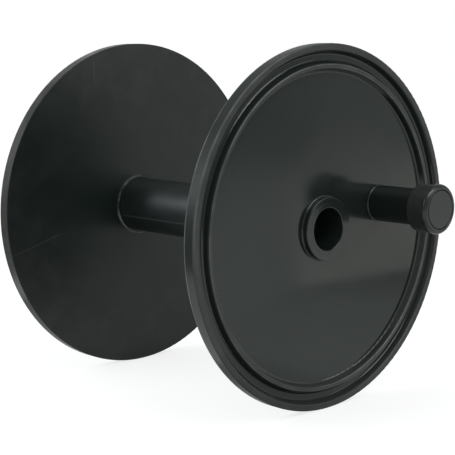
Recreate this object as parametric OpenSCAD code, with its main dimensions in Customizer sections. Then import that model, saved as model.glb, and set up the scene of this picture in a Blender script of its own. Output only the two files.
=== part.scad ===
// Drum of an electric fence reel: two ringed flanges on a hub pipe, with a turning crank grip.
// The drum's axis is along Y, the crank is on the -Y side, and the origin is on the axis midway
// between the flanges.

/* [Flanges] */
// Outer diameter of both flanges
flange_d = 240; // [200:1:320]
// Clear width between the flanges, where the wire winds
winding_w = 182.5; // [80:0.5:300]
// Thickness of the flange's web
web_t = 4; // [3.6:0.1:7]
// Height of the rim and the ridge above the web
ring_h = 4.5; // [2:0.1:8]
// Width of the rim's top, before its edges are rounded
rim_w = 4.2; // [3:0.1:10]
// Width of the ridge's top, before its edges are rounded
ridge_w = 2.5; // [1.5:0.1:10]
// Width of the groove's floor between the rim and the ridge
groove_w = 4.6; // [2:0.1:15]
// Run of the sloping sides of the rim and the ridge
ring_slope = 2.2; // [0.5:0.1:4]
// Rounding of the top edges of the ridge and of the rim's inner edge
ring_edge = 1.2; // [0.3:0.1:1.2]
// Fillet at the foot of the rim and the ridge
ring_fillet = 1.4; // [0.3:0.1:1.6]

/* [Hub] */
// Diameter of the bore for the axle
bore_d = 28; // [16:0.5:50]
// Wall of the bearing bushes
bush_wall = 2.8; // [2:0.1:5]
// Length of each bearing bush
bush_len = 24; // [12:0.5:35]
// Wall of the hub pipe
hub_wall = 3.2; // [2:0.1:6]
// Depth of the seat in the flange for the end of the pipe
pipe_seat = 2; // [1:0.1:2.8]
// How far the boss stands out round the pipe's diameter
boss_step = 1; // [0.8:0.1:6]
// Height of the boss above the web
boss_h = 4; // [2:0.1:12]
// Wall of the collar round the pipe on the winding side
collar_wall = 2; // [1.2:0.1:5]
// Height of the collar on the winding side
collar_h = 1.6; // [1.3:0.1:3]

/* [Crank peg] */
// Distance from the drum's axis to the crank's
crank_r = 56.8; // [45:0.1:80]
// Angle of the crank above the X axis, at rest
crank_angle = 12.5; // [0:0.5:359]
// Diameter of the round seat on the web
seat_d = 25.2; // [22:0.1:32]
// Height of the seat above the web
seat_h = 1.2; // [0.8:0.1:3]
// Rounding of the seat's edge
seat_edge = 1; // [0.3:0.1:1.1]
// Diameter of the peg that the grip turns on
peg_d = 12; // [11:0.1:14]
// Diameter of the peg's foot
foot_d = 18; // [15:0.1:20]
// Height of the peg's foot
foot_h = 1.6; // [1:0.1:4]
// Width of the square spigot under the foot
spigot_w = 7; // [6:0.1:10]
// Height of the square spigot
spigot_h = 1.6; // [0.8:0.1:2]

/* [Grip] */
// Length of the grip
grip_len = 50.6; // [40:0.1:80]
// Diameter of the grip's stem
grip_d = 24.4; // [22:0.1:28]
// Diameter of the collar behind the end bead
grip_collar_d = 31.6; // [29:0.1:32]
// Length of that collar
grip_collar_len = 12.1; // [6:0.1:18]
// Width of the fine groove round the middle of that collar
grip_groove_w = 0.6; // [0.4:0.1:1.6]
// Depth of that groove
grip_groove_h = 0.4; // [0.25:0.05:0.8]
// Diameter of the end bead
bead_d = 33.2; // [32.8:0.1:42]
// Length of the end bead
bead_len = 4.4; // [3:0.1:7]
// Rounding of the bead's front edge
bead_round = 2.6; // [1:0.1:3]
// Diameter of the end cap
cap_d = 25.4; // [22:0.1:26]
// Thickness of the cap's disc
cap_t = 2.4; // [1.2:0.1:4]
// Diameter of the pocket under the cap
pocket_d = 19; // [16:0.1:20.5]
// Depth of the pocket under the cap
pocket_depth = 5; // [4.5:0.1:9]
// Length of the cap's skirt in the pocket
skirt_len = 1.5; // [0.8:0.1:3]
// Wall of the cap's skirt
skirt_wall = 1.2; // [0.8:0.1:2]

/* [Screws and washer] */
// Diameter of both screws
screw_d = 4; // [3:0.1:4.6]
// Diameter of both screw heads
head_d = 8; // [6.5:0.1:9]
// Height of the grip screw's head
head_h = 2.4; // [1.5:0.1:3]
// Length of the grip screw below its head
grip_screw_len = 14; // [8:0.5:16]
// Length of the peg screw, head and all
peg_screw_len = 16; // [12:0.5:20]
// Thickness of the washer
washer_t = 1; // [0.6:0.1:1.6]
// Width of the cross recess in the screw heads
recess_w = 0.9; // [0.6:0.1:1.2]
// Depth of the cross recess
recess_depth = 1.2; // [0.6:0.1:1.4]

/* [Fits and edges] */
// Gap all round at pressed joints
press_gap = 0.02; // [0:0.01:0.05]
// Gap between the peg and the grip that turns on it
running_gap = 0.08; // [0.02:0.01:0.1]
// End play of the grip between its seat and its washer
end_play = 0.3; // [0.2:0.05:0.6]
// Gap round the peg's foot and round the washer inside the grip
inner_gap = 0.4; // [0.3:0.05:0.8]
// Gap all round a screw and under the spigot
screw_gap = 0.05; // [0.03:0.01:0.15]
// Gap round the cap, seen as a fine line
cap_gap = 0.5; // [0.2:0.05:0.6]
// Rounding of moulded edges
edge = 0.6; // [0.3:0.05:0.7]
// Fillet in moulded corners
fillet = 1; // [0.3:0.1:1.2]
// Fine edge break at joints and at the rim's edge on the winding side
edge_break = 0.3; // [0.1:0.05:0.4]
// Finest edge break, at the bush's flush joint and at the grip's fine groove
press_break = 0.1; // [0.05:0.05:0.2]

/* [Hidden] */
$fn = 128;

// How far a cutting shape runs past the face it opens
overcut = 1;

// How far a corner's piece runs past the edges that it rounds, so that no two edges lie on each other
overlap = 0.05;

// How much larger than the rounding a corner's circle is, so that it crosses both edges
over_round = 0.002;

black = [0.15, 0.15, 0.16];
soft_black = [0.2, 0.2, 0.21];
steel = [0.72, 0.72, 0.74];

// Radii of the hub, from the bore outwards
bore_r = bore_d / 2;
bush_r = bore_r + bush_wall;
hub_r = bush_r + hub_wall;
boss_r = hub_r + boss_step;
collar_r = hub_r + collar_wall;

// Radii of the flange's rings, from the rim inwards
flange_r = flange_d / 2;
rim_top_r = flange_r - rim_w;
groove_out_r = rim_top_r - ring_slope;
groove_in_r = groove_out_r - groove_w;
ridge_out_r = groove_in_r - ring_slope;
ridge_in_r = ridge_out_r - ridge_w;
ridge_root_r = ridge_in_r - ring_slope;

// Heights on the flange, from its inner face outwards
ring_top = web_t + ring_h;
boss_top = web_t + boss_h;

// Heights on the crank, from the outer face of the web
grip_base = seat_h + end_play;
pocket_floor = grip_base + grip_len - cap_t - pocket_depth;
peg_end = pocket_floor + end_play;

// Radii on the crank
peg_r = peg_d / 2;
foot_r = foot_d / 2;
pocket_r = pocket_d / 2;
screw_r = screw_d / 2;
head_r = head_d / 2;
head_cone = head_r - screw_r;

function unit(v) = v / norm(v);

// Place of a corner in a list that runs round
function corner_at(corners, i) =
    let (p = corners[(i + len(corners)) % len(corners)])
    [p.x, p.y];

// Left turn at a corner of an outline that runs anticlockwise, so that the corner stands out
function stands_out(a, b, c) = cross(b - a, c - b) > 0;

// What lies between corner b, on the way from a to c, and the arc that rounds it
module corner_piece(a, b, c, radius) {
    u = unit(a - b);
    v = unit(c - b);
    half = acos(u * v) / 2;
    reach = radius / tan(half);
    centre = b + unit(u + v) * radius / sin(half);
    stretch = 1 + overlap / radius;
    difference() {
        polygon([for (p = [b, b + u * reach, centre, b + v * reach]) centre + (p - centre) * stretch]);
        translate(centre) circle(r = radius + over_round);
    }
}

module corner_pieces(corners, outer) {
    for (i = [0:len(corners) - 1]) {
        a = corner_at(corners, i - 1);
        b = corner_at(corners, i);
        c = corner_at(corners, i + 1);
        if (corners[i].z > 0 && stands_out(a, b, c) == outer) corner_piece(a, b, c, corners[i].z);
    }
}

// Solid of revolution from the corners of its half section, anticlockwise,
// given as [distance from the axis, height, rounding]
module turned(corners) {
    rotate_extrude() difference() {
        union() {
            polygon([for (i = [0:len(corners) - 1]) corner_at(corners, i)]);
            corner_pieces(corners, false);
        }
        corner_pieces(corners, true);
    }
}

// From a flange's own frame, inner face at z = 0 and outer side up, to its place on the drum
module at_front() {
    translate([0, -winding_w / 2, 0]) rotate([90, 0, 0]) children();
}

module at_rear() {
    translate([0, winding_w / 2, 0]) rotate([-90, 0, 0]) children();
}

// Crank axis on the front flange, with z = 0 on the outer face of the web
module on_crank() {
    rotate(crank_angle) translate([crank_r, 0, web_t]) children();
}

module at_crank() {
    at_front() on_crank() children();
}

// Moulded disc that both flanges share: hub boss, web, ridge, groove and rim on the outer side,
// and the collar with the pipe's seat on the inner side
module flange_disc() {
    turned([
        [bush_r + press_gap, pipe_seat, 0],
        [hub_r + press_gap, pipe_seat, 0],
        [hub_r + press_gap, -collar_h, 0],
        [collar_r, -collar_h, edge],
        [collar_r, 0, edge],
        [flange_r, 0, edge_break],
        [flange_r, ring_top, edge],
        [rim_top_r, ring_top, ring_edge],
        [groove_out_r, web_t, ring_fillet],
        [groove_in_r, web_t, ring_fillet],
        [ridge_out_r, ring_top, ring_edge],
        [ridge_in_r, ring_top, ring_edge],
        [ridge_root_r, web_t, ring_fillet],
        [boss_r, web_t, fillet],
        [boss_r, boss_top, edge],
        [bush_r + press_gap, boss_top, press_break]
    ]);
}

// Round seat for the peg on the web, sunk into it by the web's thickness
module peg_seat() {
    turned([
        [0, -web_t, 0],
        [seat_d / 2, -web_t, 0],
        [seat_d / 2, seat_h, seat_edge],
        [0, seat_h, 0]
    ]);
}

// Square socket, screw hole and countersink for the peg
module peg_socket() {
    side = spigot_w + 2 * screw_gap;
    translate([-side / 2, -side / 2, seat_h - spigot_h - screw_gap]) cube([side, side, spigot_h + overcut]);
    translate([0, 0, -web_t - overcut])
        cylinder(r = screw_r + screw_gap, h = web_t + seat_h + overcut);
    translate([0, 0, -web_t]) cylinder(
        r1 = head_r + screw_gap,
        r2 = screw_r + screw_gap,
        h = head_cone
    );
}

module front_flange() {
    color(black) at_front() difference() {
        union() {
            flange_disc();
            on_crank() peg_seat();
        }
        on_crank() peg_socket();
    }
}

module rear_flange() {
    color(black) at_rear() flange_disc();
}

module hub_tube() {
    half = winding_w / 2 + pipe_seat;
    color(soft_black) rotate([90, 0, 0]) turned([
        [bush_r + press_gap, -half, edge_break],
        [hub_r, -half, edge_break],
        [hub_r, half, edge_break],
        [bush_r + press_gap, half, edge_break]
    ]);
}

// Bearing bush pressed through the flange into the pipe, flush with the boss
module bush() {
    turned([
        [bore_r, boss_top - bush_len, edge],
        [bush_r, boss_top - bush_len, edge],
        [bush_r, boss_top, press_break],
        [bore_r, boss_top, edge]
    ]);
}

module front_bush() {
    color(soft_black) at_front() bush();
}

module rear_bush() {
    color(soft_black) at_rear() bush();
}

module crank_peg() {
    grip_hole = grip_screw_len - washer_t + screw_gap;
    color(steel) at_crank() difference() {
        union() {
            translate([-spigot_w / 2, -spigot_w / 2, seat_h - spigot_h])
                cube([spigot_w, spigot_w, spigot_h + foot_h / 2]);
            turned([
                [0, seat_h, 0],
                [foot_r, seat_h, edge_break],
                [foot_r, seat_h + foot_h, edge_break],
                [peg_r, seat_h + foot_h, 0],
                [peg_r, peg_end, edge_break],
                [0, peg_end, 0]
            ]);
        }
        translate([0, 0, peg_end - grip_hole]) cylinder(r = screw_r + screw_gap, h = grip_hole + overcut);
        translate([0, 0, -web_t]) cylinder(r = screw_r + screw_gap, h = peg_screw_len + screw_gap);
    }
}

// Two crossed slots that cut a screw head from its face at z = 0 downwards
module cross_recess() {
    for (turn = [0, 90]) {
        rotate(turn) translate([-screw_r, -recess_w / 2, -recess_depth])
            cube([screw_d, recess_w, recess_depth + overcut]);
    }
}

module peg_screw() {
    color(steel) at_crank() translate([0, 0, -web_t]) difference() {
        turned([
            [0, 0, 0],
            [head_r, 0, 0],
            [screw_r, head_cone, 0],
            [screw_r, peg_screw_len, edge_break],
            [0, peg_screw_len, 0]
        ]);
        rotate([180, 0, 0]) cross_recess();
    }
}

// Hand grip: stem, collar and end bead, bored for the peg, with a pocket under the cap
module crank_grip() {
    stem = grip_len - grip_collar_len - bead_len;
    collar_end = grip_len - bead_len;
    groove_start = stem + (grip_collar_len - grip_groove_w) / 2;
    groove_r = grip_collar_d / 2 - grip_groove_h;
    floor_z = pocket_floor - grip_base;
    foot_pocket_r = foot_r + inner_gap;
    cap_seat_r = cap_d / 2 + cap_gap;
    bead_land = bead_d / 2 - cap_seat_r - edge_break;
    color(black) at_crank() translate([0, 0, grip_base]) turned([
        [foot_pocket_r, 0, edge_break],
        [grip_d / 2, 0, edge],
        [grip_d / 2, stem, edge],
        [grip_collar_d / 2, stem, fillet],
        [grip_collar_d / 2, groove_start, press_break],
        [groove_r, groove_start, 0],
        [groove_r, groove_start + grip_groove_w, 0],
        [grip_collar_d / 2, groove_start + grip_groove_w, press_break],
        [grip_collar_d / 2, collar_end, edge_break],
        [bead_d / 2, collar_end, edge_break],
        [bead_d / 2, grip_len, min(bead_round, bead_len - edge, bead_land)],
        [cap_seat_r, grip_len, edge_break],
        [cap_seat_r, grip_len - cap_t, 0],
        [pocket_r, grip_len - cap_t, 0],
        [pocket_r, floor_z, 0],
        [peg_r + running_gap, floor_z, edge_break],
        [peg_r + running_gap, foot_h, 0],
        [foot_pocket_r, foot_h, 0]
    ]);
}

module grip_washer() {
    color(steel) at_crank() translate([0, 0, peg_end]) turned([
        [screw_r + screw_gap, 0, 0],
        [pocket_r - inner_gap, 0, 0],
        [pocket_r - inner_gap, washer_t, edge_break],
        [screw_r + screw_gap, washer_t, 0]
    ]);
}

module grip_screw() {
    color(steel) at_crank() translate([0, 0, peg_end + washer_t]) difference() {
        turned([
            [0, -grip_screw_len, 0],
            [screw_r, -grip_screw_len, edge_break],
            [screw_r, 0, 0],
            [head_r, 0, 0],
            [head_r, head_h, fillet],
            [0, head_h, 0]
        ]);
        translate([0, 0, head_h]) cross_recess();
    }
}

// Flat cap that snaps into the end of the grip by its skirt
module grip_cap() {
    skirt_r = pocket_r - press_gap;
    color(soft_black) at_crank() translate([0, 0, grip_base + grip_len - cap_t]) turned([
        [0, 0, 0],
        [skirt_r - skirt_wall, 0, 0],
        [skirt_r - skirt_wall, -skirt_len, 0],
        [skirt_r, -skirt_len, edge_break],
        [skirt_r, 0, 0],
        [cap_d / 2, 0, 0],
        [cap_d / 2, cap_t, edge_break],
        [0, cap_t, 0]
    ]);
}

front_flange();
rear_flange();
hub_tube();
front_bush();
rear_bush();
crank_peg();
peg_screw();
crank_grip();
grip_washer();
grip_screw();
grip_cap();
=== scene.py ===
"""Looks of the electric fence reel's drum: plastics and steel on its nodes, a pale studio, the camera."""
import math
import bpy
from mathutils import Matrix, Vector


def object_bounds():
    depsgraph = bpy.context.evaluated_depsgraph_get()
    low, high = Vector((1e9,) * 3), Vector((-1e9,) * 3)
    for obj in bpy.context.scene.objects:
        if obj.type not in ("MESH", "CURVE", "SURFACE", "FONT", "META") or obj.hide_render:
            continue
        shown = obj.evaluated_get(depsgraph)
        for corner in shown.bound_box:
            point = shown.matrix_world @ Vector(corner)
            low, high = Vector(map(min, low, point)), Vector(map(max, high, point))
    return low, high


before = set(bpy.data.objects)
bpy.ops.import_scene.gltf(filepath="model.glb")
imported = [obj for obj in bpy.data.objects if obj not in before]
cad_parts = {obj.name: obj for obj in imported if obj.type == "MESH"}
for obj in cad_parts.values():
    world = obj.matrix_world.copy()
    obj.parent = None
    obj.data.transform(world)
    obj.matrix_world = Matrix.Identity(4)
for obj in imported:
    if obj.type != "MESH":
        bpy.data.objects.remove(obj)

from types import SimpleNamespace

import bpy
from mathutils import Vector

CAD_LOW, CAD_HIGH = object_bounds()

MM = 0.001

# Faces of the flanges, as distances from the middle of the drum along its axis
RING_TOP = CAD_HIGH.y
WEB_FACE = RING_TOP - 4.5 * MM
INNER_FACE = WEB_FACE - 4.0 * MM

# Corners of the flanges, as distances from the axis
RING_SLOPE = 2.2 * MM
RIM_OUTSIDE = CAD_HIGH.x
RIM_INSIDE = RIM_OUTSIDE - 4.2 * MM
GROOVE_OUTSIDE = RIM_INSIDE - RING_SLOPE
GROOVE_INSIDE = GROOVE_OUTSIDE - 4.6 * MM
RIDGE_OUTSIDE = GROOVE_INSIDE - RING_SLOPE
RIDGE_INSIDE = RIDGE_OUTSIDE - 2.5 * MM
RIDGE_FOOT = RIDGE_INSIDE - RING_SLOPE
COLLAR_RADIUS = 22.0 * MM

# Where the painted reflection on the grip's collar and the wear and painted highlight on its end bead
# begin, along Y
GRIP_COLLAR_START = -130.7 * MM
GRIP_BEAD_START = -143.0 * MM

# The photograph's viewing angle, in metres from the middle of the drum
CAMERA_PLACE = Vector((-0.6170, -0.6430, 0.1168))
CAMERA_AIM = Vector((0.0042, 0.0, -0.0094))
CAMERA_LENS_MM = 100.6
SENSOR_MM = 36.0

# Darkest and lightest colour of each material, as linear red, green and blue
FLANGE_BLACKS = ((0.0112, 0.0160, 0.0145), (0.0132, 0.0182, 0.0167))
HUB_BLACKS = ((0.0060, 0.0095, 0.0085), (0.0075, 0.0112, 0.0100))
GRIP_BLACKS = ((0.0040, 0.0080, 0.0056), (0.0055, 0.0098, 0.0072))
CAP_BLACKS = ((0.0125, 0.0168, 0.0150), (0.0148, 0.0190, 0.0172))
ZINC_GREYS = ((0.42, 0.42, 0.43), (0.58, 0.58, 0.60))

# Colours of the marks on them, among them painted highlights, painted shade and painted reflections
INNER_FACE_BLACK = (0.0080, 0.0122, 0.0110)
# Painted shade: a greener tint on the inner faces near the hub, where they lie in shade
HUB_SHADE_BLACK = (0.0072, 0.0134, 0.0092)
CLOUD_GREY = (0.0184, 0.0234, 0.0216)
# Painted reflection of the bright floor, low on the left of the inner faces
INNER_FACE_REFLECTION_GREY = (0.0340, 0.0360, 0.0335)
SCRATCH_GREY = (0.0420, 0.0460, 0.0450)
# Painted highlight round the collar where the pipe meets the rear flange
COLLAR_HIGHLIGHT_GREY = (0.1500, 0.1560, 0.1500)
RING_TOP_GREY = (0.0400, 0.0430, 0.0420)
# Painted light: lightens the rings' slopes towards the bottom
LOW_SLOPE_LIGHT_GREY = (0.0250, 0.0275, 0.0260)
# Painted highlight along the fillet at the ridge's foot
RIDGE_FOOT_HIGHLIGHT_GREY = (0.0600, 0.0630, 0.0600)
# Painted highlight along the ridge's rounded edges
RIDGE_EDGE_HIGHLIGHT_GREY = (0.1100, 0.1140, 0.1100)
# Painted highlight along the front rim's outer edge, on its upper left
RIM_EDGE_HIGHLIGHT_GREY = (0.0850, 0.0880, 0.0850)
REAR_WALL_GREY = (0.0750, 0.0720, 0.0560)
# Painted highlight along the front flange's rim edge next to its inner face
FRONT_EDGE_HIGHLIGHT_GREY = (0.1050, 0.1080, 0.1050)
SCUFF_GREY = (0.0165, 0.0220, 0.0208)
PARTING_LINE_GREY = (0.0460, 0.0500, 0.0490)
# Painted reflection, mottled, on the grip's collar
GRIP_COLLAR_REFLECTION_GREY = (0.0235, 0.0255, 0.0245)
# Wear on the grip's end bead, with a painted highlight at its back edge
BEAD_GREY = (0.0380, 0.0410, 0.0390)

# Handling marks on the inner face of the rear flange, as places across and up, in metres
SCRATCHES = [
    ((-0.1160, -0.0275), (-0.0720, -0.0150)),
    ((-0.0418, 0.0930), (-0.0424, 0.1075)),
]
SCRATCH_WIDTH = 0.5 * MM

# The pipe's parting line lies this far round it, in degrees from +X towards +Z
PARTING_LINE_ANGLE = 200.0

# Middle of the part of the front face that hands have dulled, across and up
HANDLED_MIDDLE = (22.0 * MM, 26.0 * MM)

PLASTIC_IOR = 1.43
GRAIN_STRENGTH = 0.25
GRAIN_DEPTH = 0.02 * MM


class Nodes:
    """A node tree being built, with short names for the steps that the materials share.

    A mask is a number from 0 to 1 that varies over the surface."""

    def __init__(self, tree):
        self.tree = tree
        tree.nodes.clear()

    def add(self, kind, **values):
        node = self.tree.nodes.new(kind)
        for name, value in values.items():
            setattr(node, name, value)
        return node

    def link(self, start, end):
        self.tree.links.new(start, end)

    def math(self, operation, *values):
        """One operation on sockets and plain numbers."""
        node = self.add("ShaderNodeMath", operation=operation)
        for socket, value in zip(node.inputs, values):
            if isinstance(value, float):
                socket.default_value = value
            else:
                self.link(value, socket)
        return node.outputs["Value"]

    def plus(self, first, second):
        return self.math("ADD", first, second)

    def times(self, first, *others):
        product = first
        for other in others:
            product = self.math("MULTIPLY", product, other)
        return product

    def larger(self, first, second):
        return self.math("MAXIMUM", first, second)

    def along(self, x, z, way):
        """How far a place lies along a way, which is given across and up."""
        return self.plus(self.times(x, way[0]), self.times(z, way[1]))

    def distance(self, x, z):
        """Distance from the line along Y through x = 0 and z = 0."""
        return self.math("SQRT", self.plus(self.times(x, x), self.times(z, z)))

    def noise(self, vector, scale, detail, roughness=0.5):
        texture = self.add("ShaderNodeTexNoise")
        texture.inputs["Scale"].default_value = scale
        texture.inputs["Detail"].default_value = detail
        texture.inputs["Roughness"].default_value = roughness
        self.link(vector, texture.inputs["Vector"])
        return texture.outputs["Fac"]

    def between(self, value, low, high, start=0.0, stop=1.0):
        """low where value is start, high where it is stop, evenly between them."""
        mapped = self.add("ShaderNodeMapRange")
        mapped.inputs["From Min"].default_value = start
        mapped.inputs["From Max"].default_value = stop
        mapped.inputs["To Min"].default_value = low
        mapped.inputs["To Max"].default_value = high
        self.link(value, mapped.inputs["Value"])
        return mapped.outputs["Result"]

    def spread(self, noise, low, high):
        """The range that a noise mostly takes, spread from low to high."""
        return self.between(noise, low, high, 0.35, 0.65)

    def step(self, value, start, stop):
        """A mask that is 0 up to start and 1 from stop on, smooth between; stop may be the smaller one."""
        mapped = self.add("ShaderNodeMapRange", interpolation_type="SMOOTHSTEP")
        mapped.inputs["From Min"].default_value = start
        mapped.inputs["From Max"].default_value = stop
        self.link(value, mapped.inputs["Value"])
        return mapped.outputs["Result"]

    def band(self, value, start, stop, soft):
        """A mask that is 1 where value lies between start and stop, with soft borders."""
        above = self.step(value, start - soft, start + soft)
        below = self.step(value, stop + soft, stop - soft)
        return self.times(above, below)

    def mix(self, mask, first, second):
        """first where the mask is 0, second where it is 1; each is a colour or a socket."""
        node = self.add("ShaderNodeMix", data_type="RGBA")
        self.link(mask, node.inputs[0])
        for socket, colour in ((node.inputs[6], first), (node.inputs[7], second)):
            if isinstance(colour, tuple):
                socket.default_value = (*colour, 1.0)
            else:
                self.link(colour, socket)
        return node.outputs[2]

    def finish(self, surface, output="ShaderNodeOutputMaterial"):
        self.link(surface, self.add(output).inputs["Surface"])


def new_material(name):
    material = bpy.data.materials.new(name)
    material.use_nodes = True
    return material, Nodes(material.node_tree)


def coordinates(nodes):
    """The place on the object, in metres, as a vector and as its three numbers."""
    place = nodes.add("ShaderNodeTexCoord").outputs["Object"]
    split = nodes.add("ShaderNodeSeparateXYZ")
    nodes.link(place, split.inputs["Vector"])
    return SimpleNamespace(place=place, x=split.outputs["X"], y=split.outputs["Y"], z=split.outputs["Z"])


def moulded_plastic(name, blacks, roughness, make_marks=None):
    """Moulded black plastic: flow marks in the colour, smudges in the gloss, a fine grain, marks of use and
    painted light.

    make_marks gives two lists: pairs of a mask and the colour there, and pairs of a mask and the roughness
    that it adds."""
    material, nodes = new_material(name)
    at = coordinates(nodes)
    flow = nodes.noise(at.place, 18.0, 4.0)
    smudges = nodes.noise(at.place, 34.0, 5.0, 0.6)
    grain = nodes.noise(at.place, 2600.0, 2.0)
    colour = nodes.mix(nodes.spread(flow, 0.0, 1.0), *blacks)
    gloss = nodes.spread(smudges, roughness - 0.01, roughness + 0.03)
    if make_marks:
        rubs, matts = make_marks(nodes, at)
        for mask, rubbed in rubs:
            colour = nodes.mix(mask, colour, rubbed)
        for mask, added in matts:
            gloss = nodes.plus(gloss, nodes.times(mask, added))
    bump = nodes.add("ShaderNodeBump")
    bump.inputs["Strength"].default_value = GRAIN_STRENGTH
    bump.inputs["Distance"].default_value = GRAIN_DEPTH
    nodes.link(grain, bump.inputs["Height"])
    shader = nodes.add("ShaderNodeBsdfPrincipled")
    shader.inputs["IOR"].default_value = PLASTIC_IOR
    nodes.link(colour, shader.inputs["Base Color"])
    nodes.link(gloss, shader.inputs["Roughness"])
    nodes.link(bump.outputs["Normal"], shader.inputs["Normal"])
    nodes.finish(shader.outputs["BSDF"])
    return material


def flange_parts(nodes, at):
    """What the marks on both flanges share: distances from the axis and from the middle, and masks."""
    radius = nodes.distance(at.x, at.z)
    height = nodes.math("ABSOLUTE", at.y)
    return SimpleNamespace(
        radius=radius,
        height=height,
        front=nodes.step(at.y, 1.0 * MM, -1.0 * MM),
        rear=nodes.step(at.y, -1.0 * MM, 1.0 * MM),
        inner=nodes.step(height, INNER_FACE + 0.35 * MM, INNER_FACE - 0.05 * MM),
        outer=nodes.step(height, INNER_FACE + 0.35 * MM, INNER_FACE + 0.75 * MM),
        patchy=nodes.step(nodes.noise(at.place, 70.0, 3.0), 0.35, 0.65),
    )


def stroke(nodes, at, first, last, width):
    """A mask along a thin straight mark from first to last, seen along Y."""
    run = Vector(last) - Vector(first)
    way = run.normalized()
    side = Vector((-way.y, way.x))
    begin = Vector(first).dot(way)
    middle = Vector(first).dot(side)
    lengthwise = nodes.band(nodes.along(at.x, at.z, way), begin, begin + run.length, 0.15 * run.length)
    crosswise = nodes.band(nodes.along(at.x, at.z, side), middle - width, middle + width, width)
    return nodes.times(lengthwise, crosswise)


def inner_face_marks(nodes, at, flange):
    """The faces that the wire winds between: matt, with clouds, scratches, painted shade near the hub, a
    painted floor reflection low on the left and a painted highlight round the collar.
    """
    cloud = nodes.step(nodes.noise(at.place, 52.0, 6.0, 0.65), 0.42, 0.68)
    # Painted shade: a greener tint near the hub, where the inner faces lie in shade
    hub_shade = nodes.step(flange.radius, 95.0 * MM, 45.0 * MM)
    low_left = nodes.times(nodes.step(at.x, -5.0 * MM, -35.0 * MM),
                           nodes.step(at.z, 50.0 * MM, -115.0 * MM))
    # Painted reflection of the bright floor, low on the left near the rims
    painted_reflection = nodes.times(flange.inner, low_left, nodes.step(flange.radius, 85.0 * MM, 116.0 * MM))
    # Painted highlight round the collar's edge, strongest on its underside, with a few spots elsewhere
    collar = nodes.band(flange.radius, COLLAR_RADIUS - 0.6 * MM, COLLAR_RADIUS + 0.2 * MM, 0.2 * MM)
    spots = nodes.step(nodes.noise(at.place, 160.0, 2.0), 0.45, 0.60)
    underside = nodes.step(nodes.along(at.x, at.z, (0.3, 1.0)), -8.0 * MM, -14.0 * MM)
    collar_highlight = nodes.larger(nodes.times(spots, 0.3), nodes.times(underside, 0.9))
    rubs = [
        (flange.inner, INNER_FACE_BLACK),
        (nodes.times(flange.inner, cloud, 0.8), CLOUD_GREY),
        (nodes.times(flange.inner, hub_shade, 0.7), HUB_SHADE_BLACK),
        (nodes.times(painted_reflection, nodes.between(cloud, 0.5, 0.9)), INNER_FACE_REFLECTION_GREY),
        (nodes.times(flange.inner, collar, collar_highlight), COLLAR_HIGHLIGHT_GREY),
    ]
    for first, last in SCRATCHES:
        line = stroke(nodes, at, first, last, SCRATCH_WIDTH)
        rubs.append((nodes.times(line, flange.inner, flange.rear, 0.6), SCRATCH_GREY))
    return rubs, [(flange.inner, 0.25)]


def ring_marks(nodes, at, flange):
    """The rim and the ridge on the outer sides: matt rounded edges, rubbed tops, painted light on the
    slopes towards the bottom and painted highlights along the ridge's foot and edges.
    """
    ring = nodes.step(flange.radius, RIDGE_FOOT - 2.1 * MM, RIDGE_FOOT - 1.1 * MM)
    tops = nodes.times(ring, nodes.step(flange.height, RING_TOP - 0.75 * MM, RING_TOP - 0.15 * MM))
    rounded = nodes.band(flange.height, RING_TOP - 1.35 * MM, RING_TOP - 0.05 * MM, 0.2 * MM)
    low = nodes.step(at.z, 20.0 * MM, -30.0 * MM)
    # Painted light: the slopes of the rim and ridge are lightened towards the bottom
    ridge_slope = nodes.band(flange.radius, RIDGE_FOOT - 0.2 * MM, RIDGE_INSIDE - 0.1 * MM, 0.3 * MM)
    rim_slope = nodes.band(flange.radius, GROOVE_OUTSIDE - 0.2 * MM, RIM_INSIDE - 0.1 * MM, 0.3 * MM)
    sloping = nodes.band(flange.height, WEB_FACE + 0.35 * MM, RING_TOP - 0.75 * MM, 0.3 * MM)
    lit_low_slopes = nodes.times(nodes.larger(ridge_slope, rim_slope), sloping, low)
    # Painted highlight: a light line along the ridge's foot, towards the bottom
    foot = nodes.band(flange.radius, RIDGE_FOOT - 0.5 * MM, RIDGE_FOOT + 0.2 * MM, 0.2 * MM)
    # Painted highlight lines along the ridge's top edges, the inner one on the right half only
    inside = nodes.band(flange.radius, RIDGE_INSIDE - 0.1 * MM, RIDGE_INSIDE + 0.5 * MM, 0.2 * MM)
    inside = nodes.times(inside, nodes.step(at.x, -20.0 * MM, 20.0 * MM))
    outside = nodes.band(flange.radius, RIDGE_OUTSIDE - 0.5 * MM, RIDGE_OUTSIDE + 0.1 * MM, 0.2 * MM)
    upper = nodes.step(flange.height, RING_TOP - 1.35 * MM, RING_TOP - 0.95 * MM)
    ridge_edges = nodes.times(nodes.larger(inside, outside), upper)
    rubs = [
        (nodes.times(tops, nodes.between(flange.patchy, 0.25, 0.6)), RING_TOP_GREY),
        (lit_low_slopes, LOW_SLOPE_LIGHT_GREY),
        (nodes.times(foot, flange.outer, low, 0.6), RIDGE_FOOT_HIGHLIGHT_GREY),
        (nodes.times(ridge_edges, nodes.between(flange.patchy, 0.4, 0.9)), RIDGE_EDGE_HIGHLIGHT_GREY),
    ]
    return rubs, [(tops, 0.15), (nodes.times(ring, rounded), 0.25)]


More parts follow.
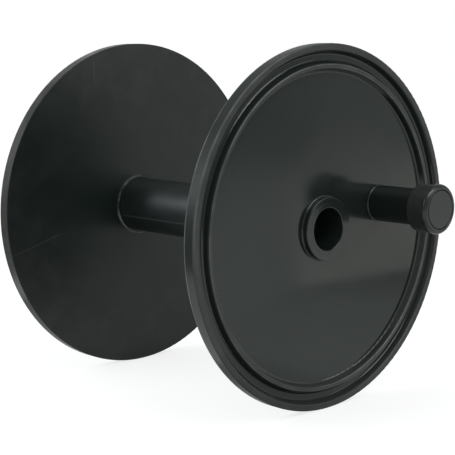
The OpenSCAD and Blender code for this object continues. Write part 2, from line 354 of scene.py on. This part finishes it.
def rim_marks(nodes, at, flange):
    """The rims' outer walls: matt, with painted highlights along the front flange's edges and a worn wall
    at the rear.
    """
    rim = nodes.step(flange.radius, RIM_OUTSIDE - 1.0 * MM, RIM_OUTSIDE - 0.4 * MM)
    wall = nodes.times(rim, flange.outer)
    # Painted highlight on the front rim's outer edge, upper left only
    corner = nodes.times(nodes.step(flange.radius, RIM_OUTSIDE - 1.4 * MM, RIM_OUTSIDE - 0.8 * MM),
                         nodes.step(flange.height, RING_TOP - 0.75 * MM, RING_TOP - 0.35 * MM))
    high_left = nodes.times(nodes.step(at.x, 10.0 * MM, -30.0 * MM),
                            nodes.step(at.z, -20.0 * MM, 30.0 * MM))
    outer_edge = nodes.times(corner, flange.front, high_left)
    # Painted highlight along the front flange's rim edge on the side of the inner face
    near_inside = nodes.step(flange.height, INNER_FACE + 1.25 * MM, INNER_FACE + 0.65 * MM)
    inner_edge = nodes.times(rim, flange.front, near_inside)
    rubs = [
        (nodes.times(outer_edge, nodes.between(flange.patchy, 0.5, 1.0)), RIM_EDGE_HIGHLIGHT_GREY),
        (nodes.times(wall, flange.rear, nodes.between(flange.patchy, 0.2, 0.4)), REAR_WALL_GREY),
        (nodes.times(inner_edge, nodes.between(flange.patchy, 0.4, 1.0)), FRONT_EDGE_HIGHLIGHT_GREY),
    ]
    return rubs, [(wall, 0.15)]


def flange_marks(nodes, at):
    """The marks on both flanges, and the front face dulled by hands near the crank."""
    flange = flange_parts(nodes, at)
    across, up = HANDLED_MIDDLE
    from_middle = nodes.distance(nodes.math("SUBTRACT", at.x, across), nodes.math("SUBTRACT", at.z, up))
    handled = nodes.times(nodes.step(from_middle, 60.0 * MM, 35.0 * MM), flange.outer, flange.front)
    all_rubs = []
    all_matts = [(handled, 0.09)]
    for make_marks in (inner_face_marks, ring_marks, rim_marks):
        rubs, matts = make_marks(nodes, at, flange)
        all_rubs.extend(rubs)
        all_matts.extend(matts)
    return all_rubs, all_matts


def hub_marks(nodes, at):
    """The pipe's fine parting line, along its lower left side, and the scuffs of the wire on it."""
    turn = math.radians(PARTING_LINE_ANGLE)
    outward = nodes.along(at.x, at.z, (math.cos(turn), math.sin(turn)))
    across = nodes.along(at.x, at.z, (-math.sin(turn), math.cos(turn)))
    line = nodes.times(nodes.band(across, -0.4 * MM, 0.4 * MM, 0.3 * MM),
                       nodes.step(outward, 0.0, 1.0 * MM))
    scuffs = nodes.spread(nodes.noise(at.place, 60.0, 4.0), 0.10, 0.50)
    return [(scuffs, SCUFF_GREY), (line, PARTING_LINE_GREY)], []


def grip_marks(nodes, at):
    """The grip's stem and collar are less glossy than its bead; the collar has a mottled painted
    reflection, the bead wear with a painted highlight at its back edge.
    """
    before_bead = nodes.step(at.y, GRIP_BEAD_START - 0.2 * MM, GRIP_BEAD_START + 0.2 * MM)
    collar = nodes.band(at.y, GRIP_BEAD_START, GRIP_COLLAR_START, 0.2 * MM)
    # Painted reflection: the collar lightened in mottled patches
    painted_reflection = nodes.times(collar, nodes.spread(nodes.noise(at.place, 220.0, 4.0), 0.5, 1.0))
    bead = nodes.step(at.y, GRIP_BEAD_START + 0.2 * MM, GRIP_BEAD_START - 0.4 * MM)
    # Wear on the bead, with a painted highlight at its back edge where the band makes it strongest
    shoulder = nodes.band(at.y, GRIP_BEAD_START - 1.4 * MM, GRIP_BEAD_START, 0.3 * MM)
    wear_and_highlight = nodes.times(bead, nodes.spread(nodes.noise(at.place, 150.0, 3.0), 0.4, 0.9))
    wear_and_highlight = nodes.times(wear_and_highlight, nodes.larger(shoulder, 0.5))
    return [(painted_reflection, GRIP_COLLAR_REFLECTION_GREY), (wear_and_highlight, BEAD_GREY)], [(before_bead, 0.26), (bead, 0.02)]


def plated_steel(name):
    """Zinc-plated steel with patches in the colour and faint marks in the gloss."""
    material, nodes = new_material(name)
    at = coordinates(nodes)
    patches = nodes.noise(at.place, 220.0, 4.0)
    marks = nodes.noise(at.place, 900.0, 3.0)
    shader = nodes.add("ShaderNodeBsdfPrincipled")
    shader.inputs["Metallic"].default_value = 1.0
    nodes.link(nodes.mix(nodes.spread(patches, 0.0, 1.0), *ZINC_GREYS), shader.inputs["Base Color"])
    nodes.link(nodes.spread(marks, 0.25, 0.4), shader.inputs["Roughness"])
    nodes.finish(shader.outputs["BSDF"])
    return material


def dress(material, *names):
    """Puts one material on the named nodes of the part."""
    for name in names:
        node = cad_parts[name]
        node.data.materials.clear()
        node.data.materials.append(material)


def dress_drum():
    flange = moulded_plastic("flange_plastic", FLANGE_BLACKS, 0.07, flange_marks)
    hub = moulded_plastic("hub_plastic", HUB_BLACKS, 0.41, hub_marks)
    bush = moulded_plastic("bush_plastic", FLANGE_BLACKS, 0.14)
    grip = moulded_plastic("grip_plastic", GRIP_BLACKS, 0.18, grip_marks)
    cap = moulded_plastic("cap_plastic", CAP_BLACKS, 0.28)
    steel = plated_steel("plated_steel")
    dress(flange, "front_flange", "rear_flange")
    dress(hub, "hub_tube")
    dress(bush, "front_bush", "rear_bush")
    dress(grip, "crank_grip")
    dress(cap, "grip_cap")
    dress(steel, "crank_peg", "peg_screw", "grip_washer", "grip_screw")


WHITE = (1.0, 1.0, 1.0, 1.0)
AMBIENT_COLOUR = (0.96, 0.98, 1.0, 1.0)
AMBIENT_STRENGTH = 0.95
FLOOR_GREY = (0.3, 0.3, 0.3, 1.0)
FLOOR_GLOW = 0.75
FLOOR_LEVEL = CAD_LOW.z
FLOOR_HALF = 6.0


def seen_directly(nodes):
    """1 for what is seen by itself, mirrored or through glass, and 0 for light that falls on things."""
    path = nodes.add("ShaderNodeLightPath")
    seen = path.outputs["Is Camera Ray"]
    for name in ("Is Glossy Ray", "Is Transmission Ray"):
        seen = nodes.larger(seen, path.outputs[name])
    return seen


def background(nodes, colour, strength):
    shader = nodes.add("ShaderNodeBackground")
    shader.inputs["Color"].default_value = colour
    shader.inputs["Strength"].default_value = strength
    return shader.outputs["Background"]


def make_world():
    """Soft light from all round, and a white backdrop for what is seen directly."""
    world = bpy.data.worlds.new("studio")
    bpy.context.scene.world = world
    world.use_nodes = True
    nodes = Nodes(world.node_tree)
    mix = nodes.add("ShaderNodeMixShader")
    nodes.link(seen_directly(nodes), mix.inputs[0])
    nodes.link(background(nodes, AMBIENT_COLOUR, AMBIENT_STRENGTH), mix.inputs[1])
    nodes.link(background(nodes, WHITE, 1.0), mix.inputs[2])
    nodes.finish(mix.outputs["Shader"], "ShaderNodeOutputWorld")


def plane(name, corners, faces=None):
    """A flat or folded sheet of the studio; without faces, all corners make one face."""
    mesh = bpy.data.meshes.new(name)
    mesh.from_pydata(corners, [], faces or [range(len(corners))])
    piece = bpy.data.objects.new(name, mesh)
    bpy.context.scene.collection.objects.link(piece)
    return piece


def make_floor():
    """A pale floor that keeps the drum's shadow, lifted to white where it is seen directly."""
    ways = ((-1, -1), (1, -1), (1, 1), (-1, 1))
    floor = plane("floor", [(FLOOR_HALF * x, FLOOR_HALF * y, FLOOR_LEVEL) for x, y in ways])
    material, nodes = new_material("pale_floor")
    paper = nodes.add("ShaderNodeBsdfDiffuse")
    paper.inputs["Color"].default_value = FLOOR_GREY
    glow = nodes.add("ShaderNodeEmission")
    glow.inputs["Color"].default_value = WHITE
    nodes.link(nodes.times(seen_directly(nodes), FLOOR_GLOW), glow.inputs["Strength"])
    both = nodes.add("ShaderNodeAddShader")
    nodes.link(paper.outputs["BSDF"], both.inputs[0])
    nodes.link(glow.outputs["Emission"], both.inputs[1])
    nodes.finish(both.outputs["Shader"])
    floor.data.materials.append(material)


def card(name, corners, strengths, colour, faces=None):
    """A card that shows only in reflections, with a strength at each corner; it casts no light or shade."""
    piece = plane(name, corners, faces)
    piece.data.attributes.new("strength", "FLOAT", "POINT").data.foreach_set("value", strengths)
    material, nodes = new_material(name)
    spread = nodes.add("ShaderNodeAttribute", attribute_name="strength")
    glow = nodes.add("ShaderNodeEmission")
    glow.inputs["Color"].default_value = (*colour, 1.0)
    nodes.link(spread.outputs["Fac"], glow.inputs["Strength"])
    nodes.finish(glow.outputs["Emission"])
    material.cycles.emission_sampling = "NONE"
    piece.data.materials.append(material)
    piece.visible_camera = False
    piece.visible_diffuse = False
    piece.visible_shadow = False


COOL = (0.96, 1.0, 0.99)
WARM = (1.0, 1.0, 0.96)
TENT_RADIUS = 2.2
TENT_TOP = 2.0
TENT_STEPS = 8
TENT_PANELS = [
    # name, first bearing, last bearing, lower edge, upper edge, strength at the first bearing, at the last
    ("left_low", -75.0, -30.0, FLOOR_LEVEL, 0.2, 0.30, 0.30),
    ("left_middle", -75.0, -30.0, 0.2, 0.9, 0.65, 0.65),
    ("left_high", -75.0, -30.0, 0.9, TENT_TOP, 0.45, 0.45),
    ("left_front", -100.0, -75.0, FLOOR_LEVEL, TENT_TOP, 0.26, 0.26),
    ("front_left", -150.0, -100.0, FLOOR_LEVEL, TENT_TOP, 0.40, 0.36),
    ("front", -195.0, -150.0, FLOOR_LEVEL, TENT_TOP, 0.42, 0.40),
    ("front_right_near", -222.0, -195.0, FLOOR_LEVEL, 0.2, 0.46, 0.45),
    ("front_right_far", -250.0, -222.0, FLOOR_LEVEL, 0.2, 1.05, 0.46),
    ("front_right_high", -250.0, -195.0, 0.2, TENT_TOP, 0.40, 0.36),
    ("right", -330.0, -250.0, FLOOR_LEVEL, TENT_TOP, 0.42, 0.42),
]

# Level cards: name, corners across and along, strength at each corner.
# A sheet lies on the right and the floor shows round it; the dim cards under the drum are a painted shadow,
# seen only in reflections; two cards hang overhead.
SHEET = [
    ("sheet_near", [(0.301, -0.394), (0.52, -0.376), (1.35, -0.95), (1.02, -1.09)],
     [1.21, 0.94, 1.05, 0.89]),
    ("sheet_far", [(1.02, -1.09), (1.35, -0.95), (1.80, -1.27), (1.57, -1.53)], [0.89, 1.05, 0.89, 0.53]),
    ("sheet_right", [(0.52, -0.376), (1.6, -0.30), (1.80, -1.27), (1.35, -0.95)],
     [0.94, 0.96, 0.89, 1.05]),
]
FLOOR_CARDS = [
    # Painted shadow: the dim cards under the drum stand for the floor in its shadow, seen only in
    # reflections
    ("shadow_under_left", [(-0.09, -0.25), (0.06, -0.25), (0.06, 0.08), (-0.09, 0.08)], [0.30, 0.85, 0.66, 0.30]),
    ("shadow_under_right", [(0.06, -0.281), (0.30, -0.281), (0.30, 0.08), (0.06, 0.08)], [1.00, 0.72, 0.50, 0.60]),
    ("before_sheet", [(0.06, -0.281), (0.301, -0.394), (0.30, -0.281)], [1.00, 0.72, 0.74]),
    ("sheet_shade", [(0.30, -0.281), (0.301, -0.394), (0.52, -0.376), (0.52, -0.281)],
     [0.72, 0.66, 0.30, 0.45]),
    ("right_floor", [(0.30, 0.08), (0.30, -0.281), (1.6, -0.281), (1.6, 0.08)], [0.50, 0.72, 0.45, 0.55]),
    # Painted shadow under the rear flange, seen only in reflections
    ("shadow_under_rear", [(-0.12, 0.08), (0.4, 0.08), (0.4, 0.22), (-0.12, 0.22)], [0.45, 0.45, 0.45, 0.45]),
    ("beside_sheet", [(0.06, -0.281), (0.301, -0.394), (1.02, -1.09), (0.50, -1.25)],
     [1.05, 0.84, 0.80, 0.85]),
    ("past_sheet", [(1.02, -1.09), (1.57, -1.53), (1.0, -1.96), (0.50, -1.25)], [0.80, 0.48, 0.45, 0.70]),
    ("front_floor", [(0.06, -0.281), (0.50, -1.25), (1.0, -1.96), (0.06, -2.2)], [1.05, 0.80, 0.45, 0.45]),
    ("back_floor", [(-0.3, 0.22), (2.2, 0.22), (2.2, 2.2), (-0.3, 2.2)], [0.40, 0.40, 0.40, 0.40]),
    ("left_floor", [(-0.3, 0.0), (-0.3, 2.2), (-2.2, 2.2), (-2.2, 0.0)], [0.22, 0.22, 0.22, 0.22]),
]
OVERHEAD = [
    ("above", [(-2.2, -2.2), (2.2, -2.2), (2.2, 1.4), (-2.2, 1.4)], [0.38, 0.38, 0.38, 0.38]),
    ("above_back", [(-2.2, 1.4), (2.2, 1.4), (2.2, 3.6), (-2.2, 3.6)], [0.35, 0.35, 0.35, 0.35]),
]
LEVEL_CARDS = [
    # cards, level, colour
    (SHEET, FLOOR_LEVEL + 2.0 * MM, WARM),
    (FLOOR_CARDS, FLOOR_LEVEL + 1.0 * MM, COOL),
    (OVERHEAD, TENT_TOP, COOL),
]

# A light box that leans over the front of the drum
FRONT_BOX_CORNERS = [(-0.2, -1.35, 0.8), (0.7, -1.35, 0.8), (0.7, -0.9, 1.45), (-0.2, -0.9, 1.45)]
FRONT_BOX_STRENGTH = 5.0


def tent_point(bearing, height):
    """A point on the tent's wall; bearing in degrees from +Y, clockwise seen from above."""
    turn = math.radians(bearing)
    return (TENT_RADIUS * math.sin(turn), TENT_RADIUS * math.cos(turn), height)


def make_tent():
    """Cards round the drum that show only in its gloss, each as bright as that side of the studio."""
    shares = [i / TENT_STEPS for i in range(TENT_STEPS + 1)]
    faces = [(2 * i, 2 * i + 1, 2 * i + 3, 2 * i + 2) for i in range(TENT_STEPS)]
    for name, first, last, low, high, start, stop in TENT_PANELS:
        points = []
        strengths = []
        for share in shares:
            bearing = first + (last - first) * share
            points += [tent_point(bearing, low), tent_point(bearing, high)]
            strengths += [start + (stop - start) * share] * 2
        card("card_" + name, points, strengths, COOL, faces)
    for cards, level, colour in LEVEL_CARDS:
        for name, corners, strengths in cards:
            card("card_" + name, [(x, y, level) for x, y in corners], strengths, colour)
    card("card_front_box", FRONT_BOX_CORNERS, [FRONT_BOX_STRENGTH] * len(FRONT_BOX_CORNERS), COOL)


LEFT_PLACE = (-1.097, 0.465, 0.634)
NEUTRAL_LIGHT = (1.0, 1.0, 1.0)
COOL_LIGHT = (0.93, 0.97, 1.0)
LIGHTS = [
    # name, place, size, radiance, colour
    ("left_light", LEFT_PLACE, (0.75, 0.75), 3.1, COOL_LIGHT),
    ("pipe_light", LEFT_PLACE, (0.16, 0.4), 68.0, COOL_LIGHT),
    ("front_light", (-0.3, -0.85, 1.15), (0.5, 0.5), 2.4, NEUTRAL_LIGHT),
    ("right_light", (0.95, -1.3, 0.38), (0.45, 0.3), 2.4, NEUTRAL_LIGHT),
]


def soft_light(name, place, size, radiance, colour):
    """A rectangular light that faces the middle of the drum."""
    data = bpy.data.lights.new(name, "AREA")
    data.shape = "RECTANGLE"
    data.size, data.size_y = size
    data.energy = 4.0 * size[0] * size[1] * radiance
    data.color = colour
    lamp = bpy.data.objects.new(name, data)
    lamp.location = place
    lamp.rotation_euler = (-Vector(place)).to_track_quat("-Z", "Y").to_euler()
    lamp.visible_camera = False
    bpy.context.scene.collection.objects.link(lamp)
    return lamp


def make_lights():
    """The soft lights; the narrow one gives only the shine along the pipe and reaches nothing else."""
    lamps = {name: soft_light(name, *values) for name, *values in LIGHTS}
    pipe_alone = bpy.data.collections.new("pipe_alone")
    pipe_alone.objects.link(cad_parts["hub_tube"])
    lamps["pipe_light"].visible_diffuse = False
    lamps["pipe_light"].light_linking.receiver_collection = pipe_alone


def make_camera():
    data = bpy.data.cameras.new("camera")
    data.sensor_width = SENSOR_MM
    data.lens = CAMERA_LENS_MM
    data.clip_end = 50.0
    camera = bpy.data.objects.new("camera", data)
    camera.location = CAMERA_PLACE
    camera.rotation_euler = (CAMERA_AIM - CAMERA_PLACE).to_track_quat("-Z", "Y").to_euler()
    bpy.context.scene.collection.objects.link(camera)
    bpy.context.scene.camera = camera


bpy.context.scene.view_settings.view_transform = "Standard"
make_camera()
dress_drum()
make_world()
make_floor()
make_tent()
make_lights()
